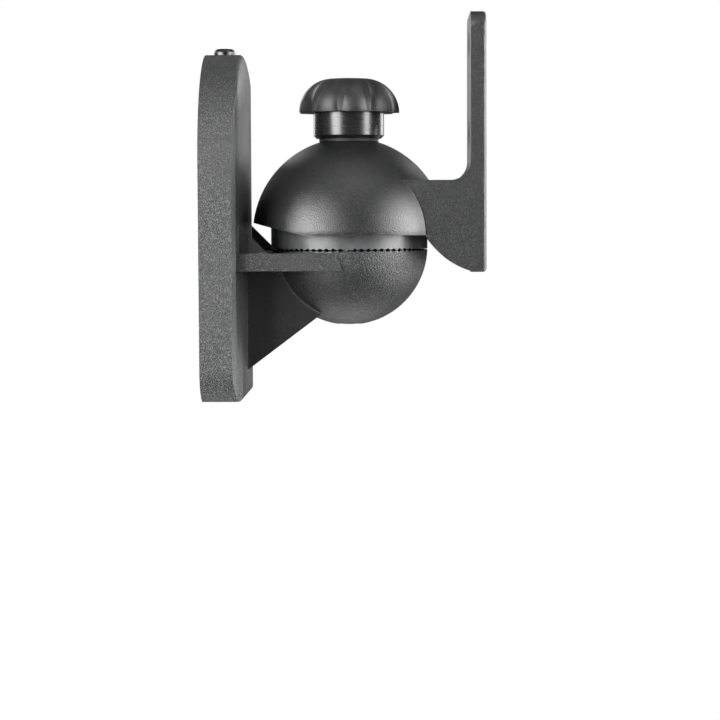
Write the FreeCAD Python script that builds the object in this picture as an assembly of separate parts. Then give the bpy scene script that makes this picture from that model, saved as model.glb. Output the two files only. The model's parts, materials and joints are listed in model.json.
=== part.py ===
# Speaker wall bracket, in millimetres. The wall is the plane x = 0, +X points into the room, +Z is up.
# The origin is the centre of the wall plate's back face.
import FreeCAD, Part
import math
import os

V = FreeCAD.Vector

# Backplate, an open-backed tombstone-shaped moulding
PLATE_WIDTH = 63.0
PLATE_HEIGHT = 100.0
PLATE_CORNER = 10.0
LEAST_CORNER = 0.5
RIM_DEPTH = 10.1
CROWN_RISE = 2.4
CROWN_INSET = 13.0
CROWN_LOW_INSET = 5.0
CROWN_STEPS = 7
CROWN_SAG = 3.2
PLATE_WALL = 2.2
FRONT_WALL = 2.2
HOLLOW_DEPTH = 9.1

# Fixing plate that is screwed to the wall inside the backplate
FIXING_THICKNESS = 3.0
FIXING_CLEARANCE = 0.3
WALL_HOLE_RADIUS = 2.5
WALL_HOLE_SPACING = 60.0
WALL_HEAD_RADIUS = 4.6
WALL_HEAD_DEPTH = 1.6
TAB_WIDTH = 14.0
TAB_HEIGHT = 6.0
TAB_CLEARANCE = 0.5

# Locking screw through the top of the rim
SCREW_FROM_WALL = 5.3
SCREW_HEAD_RADIUS = 3.15
SCREW_HEAD_HEIGHT = 2.0
SCREW_HEAD_ROUND_SHARE = 0.6
SCREW_RADIUS = 1.5
SCREW_LENGTH = 8.0
SCREW_SPOTFACE = 0.25
CROSS_WIDTH = 0.9
CROSS_LENGTH = 3.6
CROSS_DEPTH = 1.2

# Ball joint
BALL_HEIGHT = -2.6
DOME_RADIUS = 28.4
DOME_TO_PLATE = 0.7
DOME_WALL = 3.0
REAR_CUT_ANGLE = 13.0
REAR_CUT_START = 12.3
RUNNING_GAP = 0.3
RING_STEP = 2.1
RING_WALL = 3.0
RING_DROP = 4.1
CUP_CENTRE_DROP = 3.5
BOSS_RADIUS = 6.5
CORE_CEILING = 10.0

# Detent teeth on the facing rims of the cup and the swivel core
TOOTH_COUNT = 72
TOOTH_WIDTH = 1.5
TOOTH_DEPTH = 0.45
TOOTH_GAP = 0.25

# Shelf, gussets and webs between the backplate and the cup
SHELF_DROP = 5.0
SHELF_THICKNESS = 5.0
SHELF_END = 2.7
SHELF_FLARE = 4.3
SHELF_END_LEAN = 1.0
GUSSET_SIZE = 8.0
GUSSET_THICKNESS = 2.2
GUSSET_SPREAD = 22.4
WEB_HALF_SPREAD = 10.4
WEB_THICKNESS = 2.4
WEB_HEIGHT = 29.1
WEB_TIP_ANGLE = 20.0
WEB_SINK = 0.8

# Arm and speaker plate
ARM_WIDTH = 35.4
ARM_TOP = 15.7
SIDE_RIB = 3.7
CENTRE_RIB = 3.0
BELLY_WALL = 2.4
BELLY_START_DROP = 0.1
BELLY_MID_RETREAT = 7.7
BELLY_MID_DROP = 6.3
SPEAKER_PLATE_OFFSET = 6.8
SPEAKER_PLATE_THICKNESS = 4.5
SPEAKER_PLATE_TOP = 63.7
SPEAKER_PLATE_DROP = 10.6
SPEAKER_PLATE_CORNER = 4.5
SPEAKER_PLATE_EDGE = 1.1
ARM_FILLET = 5.8
SPEAKER_HOLE_RADIUS = 2.25
SPEAKER_HOLE_SPACING = 26.0
SPEAKER_HOLE_HEIGHT = 42.0
SPEAKER_SINK_RADIUS = 4.2
SPEAKER_SINK_DEPTH = 2.0

# Clamp: stud, nut, saddle washer, collar and fluted knob
STUD_RADIUS = 2.5
STUD_GRIP = 5.0
BORE_CLEARANCE = 0.3
FIT_CLEARANCE = 0.05
NUT_ACROSS_FLATS = 8.0
NUT_HEIGHT = 4.0
NUT_POCKET_CLEARANCE = 0.15
NUT_TOP_DROP = 19.5
TILT_UP = 12.0
TILT_DOWN = 10.0
WASHER_RADIUS = 8.7
WASHER_RIM = 0.6
COLLAR_RADIUS = 10.35
COLLAR_SINK = 0.3
COLLAR_HEIGHT = 7.5
COLLAR_CHAMFER = 0.9
KNOB_HEIGHT = 9.8
KNOB_RIM_RADIUS = 14.8
KNOB_RIM = 0.7
KNOB_SHOULDER_RADIUS = 12.85
KNOB_SHOULDER_DROP = 3.9
KNOB_TOP_RADIUS = 6.6
FLUTE_COUNT = 11
FLUTE_RADIUS = 6.5
FLUTE_DEPTH = 1.5
FLUTE_START = 3.0

PLATE_DEPTH = RIM_DEPTH + CROWN_RISE
BALL_FROM_WALL = PLATE_DEPTH + DOME_TO_PLATE + DOME_RADIUS
BALL = V(BALL_FROM_WALL, 0, BALL_HEIGHT)
Z_AXIS = V(0, 0, 1)
X_AXIS = V(1, 0, 0)
Y_AXIS = V(0, 1, 0)
EXTRA = 1.0
EDGE_TOLERANCE = 0.01
CORE_RADIUS = DOME_RADIUS - DOME_WALL - RUNNING_GAP
RING_RADIUS = CORE_RADIUS - RING_STEP
SPEAKER_PLATE_BACK = DOME_RADIUS + SPEAKER_PLATE_OFFSET
COLLAR_BOTTOM = DOME_RADIUS - COLLAR_SINK
COLLAR_TOP = COLLAR_BOTTOM + COLLAR_HEIGHT
RING_BOTTOM = BALL_HEIGHT - RING_DROP
CUP_TOP = RING_BOTTOM - TOOTH_GAP
PLATE_TOP = PLATE_HEIGHT / 2
STUD_BORE = STUD_RADIUS + BORE_CLEARANCE
KNOB_TOP = COLLAR_TOP + KNOB_HEIGHT


def save(shape, node):
    shape.exportStep("parts/" + node + ".step")


def line(a, b):
    return Part.LineSegment(a, b).toShape()


def arc(a, middle, b):
    return Part.Arc(a, middle, b).toShape()


def cylinder(radius, length, base, axis=Z_AXIS):
    return Part.makeCylinder(radius, length, base, axis)


def ball(radius, centre=BALL):
    return Part.makeSphere(radius, centre, Z_AXIS, -90, 90, 360)


def edges_at(shape, axis, place):
    """The edges whose centres lie at that place along an axis, to pick those to round."""
    return [e for e in shape.Edges if abs(getattr(e.CenterOfMass, axis) - place) < EDGE_TOLERANCE]


def slab(z_low, z_high):
    """A wide slab about the ball, used to keep only what lies between two heights."""
    reach = 4 * DOME_RADIUS
    corner = V(BALL_FROM_WALL - reach / 2, -reach / 2, z_low)
    return Part.makeBox(reach, reach, z_high - z_low, corner)


def plate_outline(inset, x, low_inset):
    """Backplate outline: a round top, straight sides and two rounded lower corners."""
    half = PLATE_WIDTH / 2 - inset
    corner = max(PLATE_CORNER - inset, LEAST_CORNER)
    low = -PLATE_HEIGHT / 2 + low_inset
    spring = PLATE_TOP - PLATE_WIDTH / 2
    diagonal = corner * (1 - math.sqrt(0.5))
    edges = [
        arc(V(x, half, spring), V(x, 0, spring + half), V(x, -half, spring)),
        line(V(x, -half, spring), V(x, -half, low + corner)),
        arc(V(x, -half, low + corner), V(x, -half + diagonal, low + diagonal), V(x, -half + corner, low)),
        line(V(x, -half + corner, low), V(x, half - corner, low)),
        arc(V(x, half - corner, low), V(x, half - diagonal, low + diagonal), V(x, half, low + corner)),
        line(V(x, half, low + corner), V(x, half, spring)),
    ]
    return Part.Wire(edges)


def plate_block(inset, x_low, x_high):
    face = Part.Face(plate_outline(inset, x_low, inset))
    return face.extrude(V(x_high - x_low, 0, 0))


def crown():
    """The front swells from its crisp rim edge as a quarter of an ellipse, tighter along the bottom."""
    wires = []
    for i in range(CROWN_STEPS):
        turn = math.radians(90 * i / (CROWN_STEPS - 1))
        share = 1 - math.cos(turn)
        x = RIM_DEPTH + CROWN_RISE * math.sin(turn)
        wires.append(plate_outline(CROWN_INSET * share, x, CROWN_LOW_INSET * share))
    return Part.makeLoft(wires, True, True)


def barrel_radius():
    half = PLATE_WIDTH / 2
    return (half ** 2 + CROWN_SAG ** 2) / (2 * CROWN_SAG)


def barrel(depth):
    """Upright cylinder that makes a front at this depth fall away to both sides."""
    base = V(depth - barrel_radius(), 0, -PLATE_TOP - EXTRA)
    return cylinder(barrel_radius(), PLATE_HEIGHT + 2 * EXTRA, base)


def backplate():
    shell = plate_block(0, 0, RIM_DEPTH).fuse(crown()).common(barrel(PLATE_DEPTH))
    hollow = plate_block(PLATE_WALL, -EXTRA, HOLLOW_DEPTH).common(barrel(PLATE_DEPTH - FRONT_WALL))
    spotface = cylinder(SCREW_HEAD_RADIUS + RUNNING_GAP, SCREW_HEAD_HEIGHT, screw_seat())
    bore = cylinder(SCREW_RADIUS + BORE_CLEARANCE, SCREW_LENGTH, screw_seat(), -Z_AXIS)
    return shell.cut([hollow, spotface, bore])


def screw_seat():
    return V(SCREW_FROM_WALL, 0, PLATE_TOP - SCREW_SPOTFACE)


def shelf():
    """A flat shelf that narrows from the backplate to the cup's sides and ends in a leaning face."""
    root_x = PLATE_DEPTH - CROWN_SAG - BALL_FROM_WALL
    end_y = math.sqrt(RING_RADIUS ** 2 - SHELF_END ** 2)
    root_y = end_y + SHELF_FLARE
    bottom = BALL_HEIGHT - SHELF_DROP - SHELF_THICKNESS
    outlines = []
    for x_end, z in ((SHELF_END_LEAN - SHELF_END, bottom), (-SHELF_END, bottom + SHELF_THICKNESS)):
        corners = [(root_x, -root_y), (x_end, -end_y), (x_end, end_y), (root_x, root_y)]
        points = [V(BALL_FROM_WALL + x, y, z) for x, y in corners]
        outlines.append(Part.makePolygon(points + points[:1]))
    return Part.makeLoft(outlines, True, True)


def prism_along_y(profile, y_centre, thickness):
    points = [V(x, y_centre - thickness / 2, z) for x, z in profile]
    return Part.Face(Part.makePolygon(points + points[:1])).extrude(V(0, thickness, 0))


def barrel_front(y):
    """How far the front of the backplate stands from the wall at that distance off centre."""
    return PLATE_DEPTH - barrel_radius() + math.sqrt(barrel_radius() ** 2 - y ** 2)


def gusset(side):
    root = PLATE_DEPTH - CROWN_SAG
    front = barrel_front(GUSSET_SPREAD)
    shelf_top = BALL_HEIGHT - SHELF_DROP
    foot = shelf_top - SHELF_THICKNESS / 2
    top = shelf_top + GUSSET_SIZE
    tip = front + GUSSET_SIZE
    profile = [(root, foot), (tip, foot), (tip, shelf_top), (front, top), (root, top)]
    return prism_along_y(profile, side * GUSSET_SPREAD, GUSSET_THICKNESS)


def web(side):
    """Triangle under the shelf; its tip is buried a little in the cup."""
    root = PLATE_DEPTH - CROWN_SAG
    front = barrel_front(WEB_HALF_SPREAD)
    top = BALL_HEIGHT - SHELF_DROP - SHELF_THICKNESS / 2
    low = BALL_HEIGHT - SHELF_DROP - SHELF_THICKNESS - WEB_HEIGHT
    reach = math.sqrt(RING_RADIUS ** 2 - WEB_HALF_SPREAD ** 2) - WEB_SINK
    lean = math.radians(WEB_TIP_ANGLE)
    tip_x = BALL_FROM_WALL - reach * math.sin(lean)
    tip_z = BALL_HEIGHT - CUP_CENTRE_DROP - reach * math.cos(lean)
    profile = [(root, top), (tip_x, top), (tip_x, tip_z), (front, low), (root, low)]
    return prism_along_y(profile, side * (WEB_HALF_SPREAD - WEB_THICKNESS / 2), WEB_THICKNESS)


def tooth_notches(z_face, reach_up):
    """V notches cut radially across a rim; reach_up is the side of the face that they cut into.

    Each wedge stands off the face as far as it cuts in, so it is one tooth wide at the face.
    """
    inner = RING_RADIUS - RING_WALL - EXTRA
    depth = reach_up * TOOTH_DEPTH
    back = z_face - depth
    profile = [V(inner, -TOOTH_WIDTH, back), V(inner, TOOTH_WIDTH, back), V(inner, 0, z_face + depth)]
    wedge = Part.Face(Part.makePolygon(profile + profile[:1])).extrude(V(RING_WALL + 2 * EXTRA, 0, 0))
    notches = []
    for i in range(TOOTH_COUNT):
        notch = wedge.copy()
        notch.rotate(V(0, 0, 0), Z_AXIS, i * 360.0 / TOOTH_COUNT)
        notch.translate(V(BALL_FROM_WALL, 0, 0))
        notches.append(notch)
    return notches


def hexagon(across_flats, height, base):
    corner = across_flats / math.sqrt(3)
    points = []
    for i in range(7):
        angle = math.radians(60 * i)
        points.append(base + V(corner * math.cos(angle), corner * math.sin(angle), 0))
    return Part.Face(Part.makePolygon(points)).extrude(V(0, 0, height))


def nut_base():
    return V(BALL_FROM_WALL, 0, BALL_HEIGHT - NUT_TOP_DROP - NUT_HEIGHT)


def cup_shell():
    centre = BALL - Z_AXIS * CUP_CENTRE_DROP
    bottom = centre.z - RING_RADIUS
    outside = ball(RING_RADIUS, centre).common(slab(bottom - EXTRA, CUP_TOP))
    inside = ball(RING_RADIUS - RING_WALL, centre)
    boss = cylinder(BOSS_RADIUS, CUP_TOP - TOOTH_DEPTH - bottom, V(BALL_FROM_WALL, 0, bottom))
    return outside, inside.cut(boss)


def cup_bores():
    flats = NUT_ACROSS_FLATS + 2 * NUT_POCKET_CLEARANCE
    pocket = hexagon(flats, NUT_HEIGHT + RING_RADIUS, nut_base() - Z_AXIS * RING_RADIUS)
    bore = cylinder(STUD_BORE, 3 * RING_RADIUS, nut_base())
    return [pocket, bore]


def make_bracket():
    """Backplate, shelf, gussets, webs and cup are one moulding."""
    outside, inside = cup_shell()
    pieces = [shelf(), gusset(-1), gusset(1), web(-1), web(1), outside]
    body = backplate().multiFuse(pieces)
    body = body.cut([inside] + cup_bores())
    return body.cut(tooth_notches(CUP_TOP, -1)).removeSplitter()


def make_fixing_plate():
    """Flat plate with two wall screw holes and a tab that takes the locking screw."""
    inset = PLATE_WALL + FIXING_CLEARANCE
    plate = plate_block(inset, 0, FIXING_THICKNESS)
    tab_low = PLATE_TOP - inset - TAB_HEIGHT
    tab_depth = HOLLOW_DEPTH - TAB_CLEARANCE
    tab = Part.makeBox(tab_depth, TAB_WIDTH, TAB_HEIGHT + EXTRA, V(0, -TAB_WIDTH / 2, tab_low))
    tab = tab.common(plate_block(inset, 0, tab_depth))
    cuts = [cylinder(SCREW_RADIUS + FIT_CLEARANCE, 2 * TAB_HEIGHT, screw_seat() - Z_AXIS * 2 * TAB_HEIGHT)]
    for side in (-1, 1):
        z = side * WALL_HOLE_SPACING / 2
        cuts.append(cylinder(WALL_HOLE_RADIUS, FIXING_THICKNESS, V(0, 0, z), X_AXIS))
        sink_base = V(FIXING_THICKNESS - WALL_HEAD_DEPTH, 0, z)
        cuts.append(Part.makeCone(WALL_HOLE_RADIUS, WALL_HEAD_RADIUS, WALL_HEAD_DEPTH, sink_base, X_AXIS))
    return plate.fuse(tab).cut(cuts).removeSplitter()


def make_lock_screw():
    """Pan-head screw with a cross recess, threads left plain."""
    seat = screw_seat()
    head = cylinder(SCREW_HEAD_RADIUS, SCREW_HEAD_HEIGHT, seat)
    top = seat.z + SCREW_HEAD_HEIGHT
    head = head.makeFillet(SCREW_HEAD_HEIGHT * SCREW_HEAD_ROUND_SHARE, edges_at(head, "z", top))
    shank = cylinder(SCREW_RADIUS, SCREW_LENGTH, seat, -Z_AXIS)
    slots = []
    for long_side, short_side in ((CROSS_LENGTH, CROSS_WIDTH), (CROSS_WIDTH, CROSS_LENGTH)):
        corner = V(SCREW_FROM_WALL - long_side / 2, -short_side / 2, top - CROSS_DEPTH)
        slots.append(Part.makeBox(long_side, short_side, CROSS_DEPTH + EXTRA, corner))
    return head.fuse(shank).cut(slots).removeSplitter()


def make_clamp_nut():
    nut = hexagon(NUT_ACROSS_FLATS, NUT_HEIGHT, nut_base())
    return nut.cut(cylinder(STUD_RADIUS + FIT_CLEARANCE, NUT_HEIGHT, nut_base()))


def make_swivel_core():
    """Inner ball: a cylindrical ring with a spherical cap, hollow below round a boss."""
    ring = cylinder(RING_RADIUS, RING_DROP + CORE_RADIUS, V(BALL_FROM_WALL, 0, RING_BOTTOM))
    body = ring.common(ball(CORE_RADIUS))
    depth = RING_DROP + CORE_CEILING
    hollow = cylinder(RING_RADIUS - RING_WALL, depth, V(BALL_FROM_WALL, 0, RING_BOTTOM))
    hollow = hollow.cut(cylinder(BOSS_RADIUS, depth, V(BALL_FROM_WALL, 0, RING_BOTTOM)))
    bore = cylinder(STUD_BORE, 3 * RING_RADIUS, V(BALL_FROM_WALL, 0, RING_BOTTOM - EXTRA))
    return body.cut([hollow, bore]).cut(tooth_notches(RING_BOTTOM, 1)).removeSplitter()


def make_saddle_washer():
    """Washer whose underside is hollowed to sit on the dome and cover the tilt slot."""
    low = BALL_HEIGHT + math.sqrt(DOME_RADIUS ** 2 - WASHER_RADIUS ** 2) - WASHER_RIM
    top = BALL_HEIGHT + COLLAR_BOTTOM
    body = cylinder(WASHER_RADIUS, top - low, V(BALL_FROM_WALL, 0, low))
    return body.cut([ball(DOME_RADIUS + BORE_CLEARANCE / 2)])


def dome_shell():
    above = slab(BALL_HEIGHT, BALL_HEIGHT + 2 * DOME_RADIUS)
    return ball(DOME_RADIUS).common(above)


def rear_cut():
    """The dome's lower edge rises at the back, which leaves room to tilt the arm up."""
    reach = 2 * DOME_RADIUS
    block = Part.makeBox(reach, 2 * reach, reach, V(-reach, -reach, -reach))
    block.rotate(V(0, 0, 0), Y_AXIS, REAR_CUT_ANGLE)
    block.translate(BALL - X_AXIS * REAR_CUT_START)
    return block


def tilt_slot():
    """Slot in the dome that lets it tilt round the upright stud."""
    reach = DOME_RADIUS * math.sin(math.radians(max(TILT_UP, TILT_DOWN)))
    width = 2 * STUD_BORE
    base = BALL + Z_AXIS * (DOME_RADIUS / 2)
    middle = Part.makeBox(2 * reach, width, DOME_RADIUS, base - V(reach, width / 2, 0))
    ends = [cylinder(STUD_BORE, DOME_RADIUS, base + X_AXIS * side * reach) for side in (-1, 1)]
    return middle.multiFuse(ends)


def arm_profile(shift):
    """Side view of the arm as a face on y = 0; shift moves the belly in, to make the pockets."""
    start_x = math.sqrt(DOME_RADIUS ** 2 - (ARM_WIDTH / 2) ** 2)
    push = V(shift * math.sqrt(0.5), 0, shift * math.sqrt(0.5))
    start = BALL + V(start_x, 0, -BELLY_START_DROP) + push
    middle = BALL + V(SPEAKER_PLATE_BACK - BELLY_MID_RETREAT, 0, -BELLY_MID_DROP) + push
    end = BALL + V(SPEAKER_PLATE_BACK + EXTRA + shift, 0, shift - SPEAKER_PLATE_DROP)
    top = BALL.z + ARM_TOP
    back = BALL.x + SPEAKER_PLATE_BACK
    rise = top + ARM_FILLET
    bend = ARM_FILLET * (1 - math.sqrt(0.5))
    inside = V(BALL.x + RING_RADIUS / 2, 0, start.z)
    inside_top = V(inside.x, 0, top)
    edges = [
        line(inside, start),
        arc(start, middle, end),
        line(end, V(end.x, 0, rise)),
        line(V(end.x, 0, rise), V(back, 0, rise)),
        arc(V(back, 0, rise), V(back - bend, 0, top + bend), V(back - ARM_FILLET, 0, top)),
        line(V(back - ARM_FILLET, 0, top), inside_top),
        line(inside_top, inside),
    ]
    return Part.Face(Part.Wire(edges))


def arm_slice(shift, y_low, y_high):
    body = arm_profile(shift)
    body.translate(V(0, y_low, 0))
    return body.extrude(V(0, y_high - y_low, 0))


def arm_trough():
    """Three ribs and a curved belly with two pockets that are open at the top."""
    half = ARM_WIDTH / 2
    pocket_width = half - SIDE_RIB - CENTRE_RIB / 2
    trough = arm_slice(0, -half, half)
    behind_plate = Part.makeBox(SPEAKER_PLATE_BACK, 2 * half, 2 * DOME_RADIUS, BALL - V(0, half, DOME_RADIUS))
    for y_low in (-CENTRE_RIB / 2 - pocket_width, CENTRE_RIB / 2):
        pocket = arm_slice(BELLY_WALL, y_low, y_low + pocket_width)
        mouth = Part.makeBox(SPEAKER_PLATE_BACK, pocket_width, DOME_RADIUS, V(BALL.x, y_low, BALL.z))
        trough = trough.cut(pocket.fuse(mouth).common(behind_plate))
    return trough


def speaker_plate():
    half = ARM_WIDTH / 2
    height = SPEAKER_PLATE_TOP + SPEAKER_PLATE_DROP
    corner = BALL + V(SPEAKER_PLATE_BACK, -half, -SPEAKER_PLATE_DROP)
    plate = Part.makeBox(SPEAKER_PLATE_THICKNESS, ARM_WIDTH, height, corner)
    top_edges = edges_at(plate, "z", BALL.z + SPEAKER_PLATE_TOP)
    corners = [e for e in top_edges if abs(abs(e.CenterOfMass.y) - half) < EDGE_TOLERANCE]
    plate = plate.makeFillet(SPEAKER_PLATE_CORNER, corners)
    front_edges = edges_at(plate, "x", corner.x + SPEAKER_PLATE_THICKNESS)
    plate = plate.makeFillet(SPEAKER_PLATE_EDGE, front_edges)
    cuts = []
    for side in (-1, 1):
        z = SPEAKER_HOLE_HEIGHT + side * SPEAKER_HOLE_SPACING / 2
        base = BALL + V(SPEAKER_PLATE_BACK, 0, z)
        cuts.append(cylinder(SPEAKER_HOLE_RADIUS, SPEAKER_PLATE_THICKNESS, base, X_AXIS))
        cuts.append(Part.makeCone(SPEAKER_SINK_RADIUS, SPEAKER_HOLE_RADIUS, SPEAKER_SINK_DEPTH, base, X_AXIS))
    return plate.cut(cuts)


def make_dome_arm():
    """Dome, arm and speaker plate are one moulding."""
    body = dome_shell().cut(rear_cut())
    body = body.multiFuse([arm_trough(), speaker_plate()])
    return body.cut([ball(DOME_RADIUS - DOME_WALL), tilt_slot()]).removeSplitter()


def make_collar():
    """Smooth collar under the knob, with a chamfered foot."""
    base = BALL + Z_AXIS * COLLAR_BOTTOM
    height = COLLAR_TOP - COLLAR_BOTTOM
    body = cylinder(COLLAR_RADIUS, height, base)
    body = body.makeChamfer(COLLAR_CHAMFER, edges_at(body, "z", base.z))
    bore = cylinder(STUD_RADIUS + FIT_CLEARANCE, height, base)
    return body.cut([bore, ball(DOME_RADIUS + RUNNING_GAP)])


def knob_arc():
    """Three points of the knob's meridian: top of the rim, shoulder and edge of the flat top."""
    top = BALL.z + KNOB_TOP
    rim = V(BALL.x + KNOB_RIM_RADIUS, 0, BALL.z + COLLAR_TOP + KNOB_RIM)
    shoulder = V(BALL.x + KNOB_SHOULDER_RADIUS, 0, top - KNOB_SHOULDER_DROP)
    return rim, shoulder, V(BALL.x + KNOB_TOP_RADIUS, 0, top)


def knob_blank():
    """Turned knob: flat top, rounded shoulder and short upright rim."""
    rim, shoulder, top = knob_arc()
    foot = V(rim.x, 0, BALL.z + COLLAR_TOP)
    edges = [
        line(V(BALL.x, 0, foot.z), foot),
        line(foot, rim),
        arc(rim, shoulder, top),
        line(top, V(BALL.x, 0, top.z)),
        line(V(BALL.x, 0, top.z), V(BALL.x, 0, foot.z)),
    ]
    return Part.Face(Part.Wire(edges)).revolve(BALL, Z_AXIS, 360)


def flute_cutter():
    """Curved channel that follows the knob's meridian and runs out towards the flat top."""
    circle = arc(*knob_arc()).Curve
    major = circle.Radius + FLUTE_RADIUS - FLUTE_DEPTH
    ring = Part.makeTorus(major, FLUTE_RADIUS, circle.Center + Z_AXIS * FLUTE_DEPTH, Y_AXIS)
    reach = 3 * KNOB_RIM_RADIUS
    outside = Part.makeBox(reach, 2 * reach, 2 * reach, V(BALL.x + FLUTE_START, -reach, BALL.z))
    return ring.common(outside)


def make_knob():
    """Clamping knob with curved scalloped flutes."""
    cutter = flute_cutter()
    flutes = []
    for i in range(FLUTE_COUNT):
        flute = cutter.copy()
        flute.rotate(BALL, Z_AXIS, (i + 0.5) * 360.0 / FLUTE_COUNT)
        flutes.append(flute)
    grip = cylinder(STUD_RADIUS + FIT_CLEARANCE, STUD_GRIP, V(BALL.x, 0, BALL.z + COLLAR_TOP))
    return knob_blank().cut(flutes).cut(grip)


def make_clamp_stud():
    """Stud fixed in the knob that runs down to the nut in the cup."""
    low = nut_base().z
    high = BALL.z + COLLAR_TOP + STUD_GRIP
    return cylinder(STUD_RADIUS, high - low, V(BALL.x, 0, low))


def main():
    os.makedirs("parts", exist_ok=True)
    save(make_bracket(), "bracket")
    save(make_fixing_plate(), "fixing_plate")
    save(make_lock_screw(), "lock_screw")
    save(make_clamp_nut(), "clamp_nut")
    save(make_swivel_core(), "swivel_core")
    save(make_saddle_washer(), "saddle_washer")
    save(make_dome_arm(), "dome_arm")
    save(make_collar(), "collar")
    save(make_knob(), "knob")
    save(make_clamp_stud(), "clamp_stud")


main()
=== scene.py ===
import json
import math

import bpy
from mathutils import Matrix, Vector


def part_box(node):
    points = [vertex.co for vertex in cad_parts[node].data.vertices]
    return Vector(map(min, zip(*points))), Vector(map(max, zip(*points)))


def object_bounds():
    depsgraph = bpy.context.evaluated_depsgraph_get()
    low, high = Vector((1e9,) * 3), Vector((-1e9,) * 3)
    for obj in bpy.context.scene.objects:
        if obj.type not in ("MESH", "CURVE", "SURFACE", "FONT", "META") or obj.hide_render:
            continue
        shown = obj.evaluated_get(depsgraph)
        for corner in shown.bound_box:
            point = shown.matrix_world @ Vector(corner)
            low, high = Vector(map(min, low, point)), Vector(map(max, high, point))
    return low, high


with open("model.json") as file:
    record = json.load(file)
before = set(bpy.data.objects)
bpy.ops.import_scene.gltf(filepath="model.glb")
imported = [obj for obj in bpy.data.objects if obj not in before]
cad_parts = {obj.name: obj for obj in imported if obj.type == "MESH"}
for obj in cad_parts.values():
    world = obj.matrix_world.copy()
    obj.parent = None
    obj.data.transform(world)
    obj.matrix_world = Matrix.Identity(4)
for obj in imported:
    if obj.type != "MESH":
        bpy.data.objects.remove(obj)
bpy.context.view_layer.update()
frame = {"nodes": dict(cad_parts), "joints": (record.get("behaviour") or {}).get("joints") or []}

NODES = frame["nodes"]
JOINTS = {joint["name"]: joint for joint in frame["joints"]}
BALL = Vector(JOINTS["arm_tilt"]["pos_m"])


def half_width(node):
    """Half of a node's width, which lies along Y."""
    low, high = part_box(node)
    return (high.y - low.y) / 2


# Where one finish ends and the next begins, in metres: the dome, the cup (as wide as the core's
# toothed ring), the shelf's middle and half its thickness, how far the backplate's rim and crown
# stand out from the wall, and the blend between two finishes
DOME_RADIUS = half_width("dome_arm")
CUP_RADIUS = half_width("swivel_core")
CUP_CENTRE_DROP = 0.0035
CUP_CENTRE = BALL - Vector((0.0, 0.0, CUP_CENTRE_DROP))
SHELF_DROP = 0.0075
SHELF_MIDDLE = BALL.z - SHELF_DROP
SHELF_HALF = 0.0026
RIM_DEPTH = 0.0101
CROWN_FRONT = 0.0126
FINISH_BLEND = 0.0003

# Camera, fitted to the side view: place, turns in degrees about Z, X and the view axis,
# focal length in pixels, and the nearest that it sees in metres
CAMERA_AT = (0.0567, -0.6190, 0.0037)
CAMERA_TURN = (1.12, -4.00, 0.24)
FOCAL_PIXELS = 2099.6
FRAME_PIXELS = 720
SENSOR_MM = 36.0
CAMERA_NEAR = 0.01

# Lamps: azimuth and elevation in degrees, distance, width and height in metres, watts.
# Azimuth 0 is on the camera's side, and it grows towards the camera's right.
LAMPS = {
    "left_box": (-48.0, 10.0, 0.70, 0.56, 0.34, 5.9),
    "right_box": (79.0, 10.0, 0.70, 0.70, 0.38, 7.2),
    "right_rim": (124.0, 0.0, 0.80, 0.50, 0.40, 1.4),
    "overhead": (10.0, 64.0, 0.80, 0.60, 0.40, 0.7),
    "low_left": (-68.0, -30.0, 0.80, 0.40, 0.30, 2.0),
    "low_right": (84.0, -22.0, 0.80, 0.40, 0.30, 2.2),
    "under": (180.0, -62.0, 0.80, 0.60, 0.40, 1.4),
    "back_left": (-145.0, 16.0, 1.00, 0.50, 0.50, 2.6),
    "back_right": (140.0, 16.0, 1.00, 0.50, 0.50, 2.6),
}

# Backdrop: its colour, the strength that lights the object from all round, and the strength
# that its gloss reflects. The camera sees it at full strength.
WHITE = (1.0, 1.0, 1.0, 1.0)
AMBIENT = 0.08
REFLECTED_BACKDROP = 0.15

# Floor: size, place behind the object and depth below it in metres, then its colour and roughness
FLOOR_SIZE = 8.0
FLOOR_BEHIND = 2.0
FLOOR_DROP = 0.75
FLOOR_COLOUR = (0.9, 0.9, 0.9, 1.0)
FLOOR_ROUGHNESS = 0.9

# Each finish's darkest and lightest grey, and its least and most roughness
LOOKS = {
    "bracket_plastic": ((0.012, 0.155), (0.30, 0.45)),
    "arm_plastic": ((0.012, 0.155), (0.30, 0.45)),
    "fixing_plastic": ((0.012, 0.060), (0.30, 0.45)),
    "core_plastic": ((0.095, 0.145), (0.33, 0.43)),
    "washer_plastic": ((0.006, 0.010), (0.58, 0.68)),
    "knob_plastic": ((0.015, 0.036), (0.40, 0.50)),
    "collar_plastic": ((0.007, 0.016), (0.22, 0.32)),
    # Painted edge highlight: a lighter grey for the rounded edges
    "painted_edge_highlight": ((0.12, 0.30), (0.30, 0.42)),
    "screw_steel": ((0.05, 0.15), (0.30, 0.42)),
    "zinc_steel": ((0.42, 0.60), (0.28, 0.40)),
}

# How strongly gloss reflects, and how far a grey leans from red to blue
GLOSS = 1.0
COOLNESS = 0.02

# Share of the full grain, with its painted glint specks, on each surface
RIM_GRAIN = 1.0
SHELF_GRAIN = 0.60
CUP_GRAIN = 0.50
FRONT_GRAIN = 0.42
ARM_GRAIN = 0.40
DOME_GRAIN = 0.30
WEB_GRAIN = 0.12

# How fine each texture is, in features to the metre
GRAIN_SCALE = 2900.0
CLOUD_SCALE = 110.0
MOTTLE_SCALE = 300.0
EDGE_HIGHLIGHT_SCALE = 420.0
LINE_SCALE = 260.0
LINE_STRETCH = (1.0, 1.0, 22.0)
STAIN_SCALE = 900.0
METAL_GRAIN_SCALE = 2500.0

# The part of a texture's range that runs from none to full: a narrow part has hard edges
FULL = (0.0, 1.0)
SOFT_PART = (0.3, 0.7)
FIRM_PART = (0.35, 0.65)
# Painted glints: the part of the grain's range over which light specks are painted into the colour
PAINTED_GLINT_PART = (0.49, 0.64)
ROUGHENING_PART = (0.3, 1.0)
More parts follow.
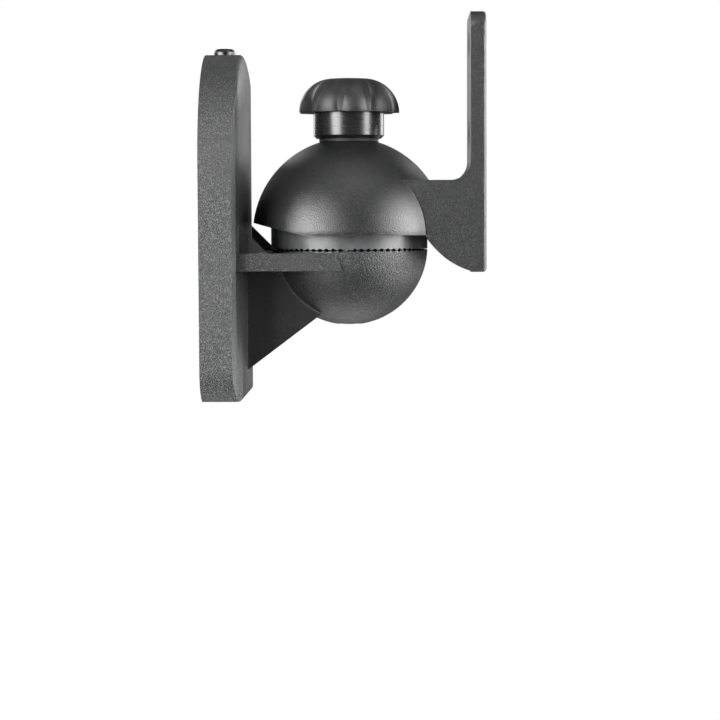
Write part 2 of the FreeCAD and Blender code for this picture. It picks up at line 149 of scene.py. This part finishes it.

# Moulded grain: depth in metres, height that round cells add to it, tone between its painted glint
# specks, how far clouds dim those painted glints, and strength of the bumps from no grain to full
# grain
GRAIN_DEPTH = 0.00026
CELL_HEIGHT = 0.6
CELL_SMOOTHNESS = 0.4
BASE_TONE = 0.12
CLOUD_TONE = (0.75, 1.0)
GRAIN_BUMP = (0.12, 1.0)

# Fine relief of the other finishes, in metres
LINE_DEPTH = GRAIN_DEPTH / 4
MOTTLE_DEPTH = GRAIN_DEPTH / 2
METAL_GRAIN_DEPTH = GRAIN_DEPTH / 6

# Edges: radius of the rounded ones in metres, steps round it, the least angle in degrees at which
# an edge is rounded, the angle up to which the crown's facets are shaded as one smooth face,
# and the distance within which a mesh's points are joined
EDGE_RADIUS = 0.00032
EDGE_STEPS = 2
SHARP_EDGE_DEGREES = 35.0
SMOOTH_DEGREES = 34.0
WELD_DISTANCE = 1e-6


class Nodes:
    """Short calls for building one node tree."""

    def __init__(self, tree):
        self.tree = tree

    def add(self, kind, **settings):
        node = self.tree.nodes.new(kind)
        for key, value in settings.items():
            setattr(node, key, value)
        return node

    def put(self, socket, value):
        """Link a socket, or set its constant."""
        if isinstance(value, bpy.types.NodeSocket):
            self.tree.links.new(value, socket)
        else:
            socket.default_value = value

    def feed(self, node, **values):
        """Fill a node's inputs by name, with _ for each space."""
        for name, value in values.items():
            self.put(node.inputs[name.replace("_", " ")], value)

    def math(self, operation, *values):
        node = self.add("ShaderNodeMath", operation=operation)
        for socket, value in zip(node.inputs, values):
            self.put(socket, value)
        return node.outputs[0]

    def greatest(self, *values):
        result = values[0]
        for value in values[1:]:
            result = self.math("MAXIMUM", result, value)
        return result


class Finish(Nodes):
    """The node tree of one finish, whose textures stay in place on the object."""

    def __init__(self, name):
        self.material = bpy.data.materials.new(name)
        self.material.use_nodes = True
        super().__init__(self.material.node_tree)
        self.shader = self.tree.nodes["Principled BSDF"]
        self.feed(self.shader, Specular_IOR_Level=GLOSS)
        self.place = self.add("ShaderNodeTexCoord").outputs["Object"]
        self.greys, self.roughness = LOOKS[name]

    def colour(self, share):
        """Colour that runs from the darkest grey to the lightest."""
        node = self.add("ShaderNodeMix", data_type="RGBA")
        self.put(node.inputs["Factor"], share)
        ends = [socket for socket in node.inputs if socket.type == "RGBA"]
        for socket, level in zip(ends, self.greys):
            self.put(socket, grey(level))
        mixed = next(socket for socket in node.outputs if socket.type == "RGBA")
        self.feed(self.shader, Base_Color=mixed)

    def roughen(self, share):
        """Roughness that runs from the least to the most."""
        self.feed(self.shader, Roughness=self.spread(share, FULL, self.roughness))

    def bump(self, height, strength, depth):
        node = self.add("ShaderNodeBump")
        self.feed(node, Height=height, Strength=strength, Distance=depth)
        self.feed(self.shader, Normal=node.outputs["Normal"])

    def noise(self, scale, detail=2.0, roughness=0.5, stretch=(1.0, 1.0, 1.0)):
        """Cloudy noise, made finer along each axis by its share of the stretch."""
        mapping = self.add("ShaderNodeMapping")
        self.feed(mapping, Vector=self.place, Scale=stretch)
        node = self.add("ShaderNodeTexNoise")
        self.feed(node, Vector=mapping.outputs[0], Scale=scale, Detail=detail, Roughness=roughness)
        return node.outputs["Fac"]

    def cells(self, scale):
        node = self.add("ShaderNodeTexVoronoi", feature="SMOOTH_F1")
        self.feed(node, Vector=self.place, Scale=scale, Smoothness=CELL_SMOOTHNESS)
        return node.outputs["Distance"]

    def distance(self, point):
        node = self.add("ShaderNodeVectorMath", operation="DISTANCE")
        self.put(node.inputs[0], self.place)
        self.put(node.inputs[1], tuple(point))
        return node.outputs["Value"]

    def coordinate(self, axis):
        node = self.add("ShaderNodeSeparateXYZ")
        self.put(node.inputs[0], self.place)
        return node.outputs[axis]

    def spread(self, value, part, ends=FULL):
        """Run from one end to the other while the value passes through a part of its range."""
        node = self.add("ShaderNodeMapRange")
        self.feed(node, Value=value, From_Min=part[0], From_Max=part[1])
        self.feed(node, To_Min=ends[0], To_Max=ends[1])
        return node.outputs["Result"]

    def step(self, value, edge, before, after):
        """Change from one share to another where the value passes an edge."""
        return self.spread(value, (edge, edge + FINISH_BLEND), (before, after))


def grey(level):
    """A neutral grey, a shade cooler than pure, as black plastic is."""
    return (level * (1 - COOLNESS), level, level * (1 + COOLNESS), 1.0)


def bracket_grain(f):
    """Most grain on the backplate's rim, less on the shelf, cup and front, least on the webs."""
    depth = f.coordinate("X")
    rim = f.step(depth, RIM_DEPTH, RIM_GRAIN, 0.0)
    front = f.step(depth, CROWN_FRONT, FRONT_GRAIN, 0.0)
    cup = f.step(f.distance(CUP_CENTRE), CUP_RADIUS + FINISH_BLEND, CUP_GRAIN, WEB_GRAIN)
    from_shelf = f.math("ABSOLUTE", f.math("SUBTRACT", f.coordinate("Z"), SHELF_MIDDLE))
    shelf_level = f.step(from_shelf, SHELF_HALF, SHELF_GRAIN, 0.0)
    shelf = f.math("MULTIPLY", shelf_level, f.step(depth, CROWN_FRONT, 0.0, 1.0))
    return f.greatest(rim, front, cup, shelf)


def arm_grain(f):
    """A little more grain on the arm and speaker plate than on the dome."""
    return f.step(f.distance(BALL), DOME_RADIUS + FINISH_BLEND, DOME_GRAIN, ARM_GRAIN)


def moulded(name, grain_share):
    """Black moulded plastic with spark-eroded grain, whose light specks are painted glints in the
    colour as well as glints from the bumps.
    """
    f = Finish(name)
    share = grain_share(f)
    grain = f.noise(GRAIN_SCALE, roughness=0.6)
    clouds = f.spread(f.noise(CLOUD_SCALE, detail=3.0), SOFT_PART, CLOUD_TONE)
    # Painted glints: light specks painted into the colour where the grain is high, over the plastic's
    # own dark tone
    tone_with_glints = f.math("MULTIPLY_ADD", f.spread(grain, PAINTED_GLINT_PART), clouds, BASE_TONE)
    f.colour(f.math("MULTIPLY", tone_with_glints, share))
    f.roughen(f.spread(share, ROUGHENING_PART))
    height = f.math("MULTIPLY_ADD", f.cells(GRAIN_SCALE), CELL_HEIGHT, grain)
    f.bump(height, f.spread(share, FULL, GRAIN_BUMP), GRAIN_DEPTH)
    return f.material


def painted_edge_highlight():
    """Painted highlight: rounded edges coloured lighter, in patches, where they would catch the
    light.
    """
    f = Finish("painted_edge_highlight")
    highlight_patches = f.spread(f.noise(EDGE_HIGHLIGHT_SCALE, detail=4.0, roughness=0.6), FIRM_PART)
    f.colour(highlight_patches)
    f.roughen(highlight_patches)
    f.bump(f.noise(GRAIN_SCALE), strength=0.3, depth=GRAIN_DEPTH)
    return f.material


def satin(name, grain):
    """Plain moulded plastic with a faint flow-line mottle, and fine grain of the strength given."""
    f = Finish(name)
    mottle = f.spread(f.noise(MOTTLE_SCALE, detail=4.0), SOFT_PART)
    f.colour(mottle)
    f.roughen(mottle)
    f.bump(f.noise(GRAIN_SCALE), strength=grain, depth=MOTTLE_DEPTH)
    return f.material


def turned(name):
    """Smooth plastic with faint lines round it, as on a turned mould."""
    f = Finish(name)
    lines = f.noise(LINE_SCALE, detail=3.0, roughness=0.6, stretch=LINE_STRETCH)
    f.colour(f.spread(lines, FIRM_PART))
    f.roughen(f.spread(lines, SOFT_PART))
    f.bump(lines, strength=0.08, depth=LINE_DEPTH)
    return f.material


def steel(name):
    """Steel with small stains."""
    f = Finish(name)
    stains = f.spread(f.noise(STAIN_SCALE, detail=4.0), FIRM_PART)
    f.feed(f.shader, Metallic=1.0)
    f.colour(stains)
    f.roughen(stains)
    f.bump(f.noise(METAL_GRAIN_SCALE), strength=0.15, depth=METAL_GRAIN_DEPTH)
    return f.material


def dress(node, *materials):
    mesh = NODES[node].data
    mesh.materials.clear()
    for material in materials:
        mesh.materials.append(material)


def dress_nodes():
    """A finish for each node, and after it the painted edge highlight that a rounded node's edges
    take.
    """
    edge = painted_edge_highlight()
    zinc = steel("zinc_steel")
    dress("bracket", moulded("bracket_plastic", bracket_grain), edge)
    dress("dome_arm", moulded("arm_plastic", arm_grain), edge)
    dress("fixing_plate", moulded("fixing_plastic", bracket_grain))
    dress("swivel_core", satin("core_plastic", grain=0.3))
    dress("saddle_washer", satin("washer_plastic", grain=0.2))
    dress("knob", satin("knob_plastic", grain=0.6), edge)
    dress("collar", turned("collar_plastic"))
    dress("lock_screw", steel("screw_steel"))
    dress("clamp_nut", zinc)
    dress("clamp_stud", zinc)


def smoothing_group():
    """Node group that joins a mesh's points and shades it smooth across every blunt edge."""
    group = bpy.data.node_groups.new("smooth_by_angle", "GeometryNodeTree")
    for direction in ("INPUT", "OUTPUT"):
        group.interface.new_socket("Geometry", in_out=direction, socket_type="NodeSocketGeometry")
    n = Nodes(group)
    join = n.add("GeometryNodeMergeByDistance")
    n.feed(join, Distance=WELD_DISTANCE)
    forget = n.add("GeometryNodeRemoveAttribute")
    n.feed(forget, Name="custom_normal")
    faces = n.add("GeometryNodeSetShadeSmooth")
    edges = n.add("GeometryNodeSetShadeSmooth", domain="EDGE")
    blunt = n.add("FunctionNodeCompare", operation="LESS_THAN")
    n.put(blunt.inputs[0], n.add("GeometryNodeInputMeshEdgeAngle").outputs["Unsigned Angle"])
    n.put(blunt.inputs[1], math.radians(SMOOTH_DEGREES))
    n.feed(edges, Shade_Smooth=blunt.outputs[0])
    chain = [n.add("NodeGroupInput"), join, forget, faces, edges, n.add("NodeGroupOutput")]
    for first, second in zip(chain, chain[1:]):
        n.feed(second, Geometry=first.outputs["Geometry"])
    return group


def smooth(node):
    NODES[node].modifiers.new("smooth", "NODES").node_group = smoothing_group()


def round_edges(node):
    """Give a moulding's sharp edges a small radius, in the node's last material."""
    obj = NODES[node]
    weld = obj.modifiers.new("weld", "WELD")
    weld.merge_threshold = WELD_DISTANCE
    bevel = obj.modifiers.new("edges", "BEVEL")
    bevel.limit_method = "ANGLE"
    bevel.angle_limit = math.radians(SHARP_EDGE_DEGREES)
    bevel.width = EDGE_RADIUS
    bevel.segments = EDGE_STEPS
    bevel.harden_normals = True
    # The rounded edges take the last material, which is the painted edge highlight
    bevel.material = len(obj.data.materials) - 1


def backdrop_strength(n):
    """White to the camera and through anything clear, and a share of that in reflections."""
    path = n.add("ShaderNodeLightPath")
    reflected = n.math("MULTIPLY", path.outputs["Is Glossy Ray"], REFLECTED_BACKDROP)
    return n.greatest(path.outputs["Is Camera Ray"], path.outputs["Is Transmission Ray"], reflected)


def make_world():
    """The backdrop all round, which also lights the object a little."""
    world = bpy.data.worlds.new("studio")
    world.use_nodes = True
    bpy.context.scene.world = world
    n = Nodes(world.node_tree)
    strength = n.greatest(backdrop_strength(n), AMBIENT)
    n.feed(n.tree.nodes["Background"], Color=WHITE, Strength=strength)


def floor_material():
    """Pale paint to light that bounces off it, and backdrop to everything else."""
    material = bpy.data.materials.new("floor_white")
    material.use_nodes = True
    n = Nodes(material.node_tree)
    paint = n.tree.nodes["Principled BSDF"]
    n.feed(paint, Base_Color=FLOOR_COLOUR, Roughness=FLOOR_ROUGHNESS, Specular_IOR_Level=0.0)
    glow = n.add("ShaderNodeEmission")
    n.feed(glow, Strength=backdrop_strength(n))
    bounce = n.add("ShaderNodeLightPath").outputs["Is Diffuse Ray"]
    mix = n.add("ShaderNodeMixShader")
    for socket, value in zip(mix.inputs, (bounce, glow.outputs[0], paint.outputs[0])):
        n.put(socket, value)
    n.feed(n.tree.nodes["Material Output"], Surface=mix.outputs[0])
    return material


def make_floor():
    """A large floor well below the object."""
    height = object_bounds()[0].z - FLOOR_DROP
    bpy.ops.mesh.primitive_plane_add(size=FLOOR_SIZE, location=(0.0, FLOOR_BEHIND, height))
    floor = bpy.context.object
    floor.name = "floor"
    floor.data.materials.append(floor_material())


def add_object(name, data):
    obj = bpy.data.objects.new(name, data)
    bpy.context.scene.collection.objects.link(obj)
    return obj


def softbox(name, azimuth, elevation, distance, width, height, power):
    """An area lamp aimed at the ball."""
    turn, rise = math.radians(azimuth), math.radians(elevation)
    away = Vector((math.sin(turn) * math.cos(rise), -math.cos(turn) * math.cos(rise), math.sin(rise)))
    lamp = bpy.data.lights.new(name, "AREA")
    lamp.shape = "RECTANGLE"
    lamp.size = width
    lamp.size_y = height
    lamp.energy = power
    obj = add_object(name, lamp)
    obj.location = BALL + away * distance
    obj.rotation_mode = "QUATERNION"
    obj.rotation_quaternion = (-away).to_track_quat("-Z", "Y")


def rotation(degrees, axis):
    return Matrix.Rotation(math.radians(degrees), 4, axis)


def make_camera():
    """The photograph's camera. A quarter turn first makes it look along Y, not straight down."""
    yaw, pitch, roll = CAMERA_TURN
    turn = rotation(yaw, "Z") @ rotation(pitch, "X") @ rotation(roll, "Y") @ rotation(90.0, "X")
    camera = bpy.data.cameras.new("camera")
    camera.sensor_width = SENSOR_MM
    camera.lens = FOCAL_PIXELS / FRAME_PIXELS * SENSOR_MM
    camera.clip_start = CAMERA_NEAR
    obj = add_object("camera", camera)
    obj.matrix_world = Matrix.Translation(CAMERA_AT) @ turn
    bpy.context.scene.camera = obj


bpy.context.scene.view_settings.view_transform = "Standard"
dress_nodes()
smooth("bracket")
for rounded in ("bracket", "dome_arm", "knob"):
    round_edges(rounded)
make_floor()
make_world()
for lamp_name, lamp_setting in LAMPS.items():
    softbox(lamp_name, *lamp_setting)
make_camera()
